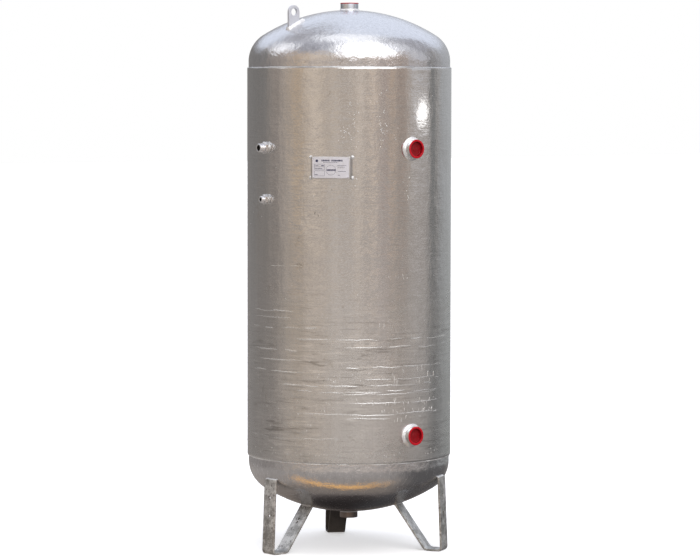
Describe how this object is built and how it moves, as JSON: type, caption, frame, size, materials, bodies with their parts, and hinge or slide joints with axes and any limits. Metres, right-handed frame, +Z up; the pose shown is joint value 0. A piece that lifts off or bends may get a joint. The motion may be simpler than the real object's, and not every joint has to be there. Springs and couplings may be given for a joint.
{
  "type": "air receiver tank",
  "caption": "Upright galvanised air receiver: rolled shell with dished heads, bent flat-bar legs, side ports with plugs, top and drain ports, lifting lug and rating plate.",
  "frame": {"origin": "on the tank's axis, at floor level under the feet", "axes": "+Z up along the tank's axis, -Y towards the two main side ports"},
  "size_m": [0.8405, 0.8283, 2.1347],
  "materials": {
    "shell_zinc": "hot-dip galvanised, worn bright",
    "weld_zinc": "galvanised weld bead",
    "leg_zinc": "hot-dip galvanised, matt grey",
    "fitting_zinc": "galvanised fitting",
    "red_plastic": "moulded red plastic",
    "plate_aluminium": "satin sheet"
  },
  "bodies": {
    "tank": {"bottom_girth_weld": "weld_zinc", "bottom_head": "shell_zinc", "drain_coupling": "fitting_zinc", "drain_coupling_weld": "weld_zinc", "gauge_coupling": "fitting_zinc", "gauge_coupling_weld": "weld_zinc", "gauge_nipple": "fitting_zinc", "leg_1": "leg_zinc", "leg_1_welds": "weld_zinc", "leg_2": "leg_zinc", "leg_2_welds": "weld_zinc", "leg_3": "leg_zinc", "leg_3_welds": "weld_zinc", "lifting_lug": "shell_zinc", "lifting_lug_weld": "weld_zinc", "lower_main_coupling": "fitting_zinc", "lower_main_coupling_weld": "weld_zinc", "rating_bracket": "shell_zinc", "rating_bracket_welds": "weld_zinc", "rating_plate": "plate_aluminium", "rating_plate_rivets": "plate_aluminium", "shell": "shell_zinc", "shell_seam_weld": "weld_zinc", "switch_coupling": "fitting_zinc", "switch_coupling_weld": "weld_zinc", "switch_nipple": "fitting_zinc", "top_coupling": "fitting_zinc", "top_coupling_weld": "weld_zinc", "top_girth_weld": "weld_zinc", "top_head": "shell_zinc", "upper_main_coupling": "fitting_zinc", "upper_main_coupling_weld": "weld_zinc"},
    "lower_main_plug": {"lower_main_plug": "red_plastic"},
    "top_plug": {"top_plug": "red_plastic"},
    "upper_main_plug": {"upper_main_plug": "red_plastic"}
  },
  "joints": [
    {"name": "upper_plug_pull", "type": "slide", "parent": "tank", "child": "upper_main_plug", "axis": [0, -1, 0], "range_m": [0, 0.12]},
    {"name": "lower_plug_pull", "type": "slide", "parent": "tank", "child": "lower_main_plug", "axis": [0, -1, 0], "range_m": [0, 0.12]},
    {"name": "top_plug_pull", "type": "slide", "parent": "tank", "child": "top_plug", "axis": [0, 0, 1], "range_m": [0, 0.12]}
  ]
}
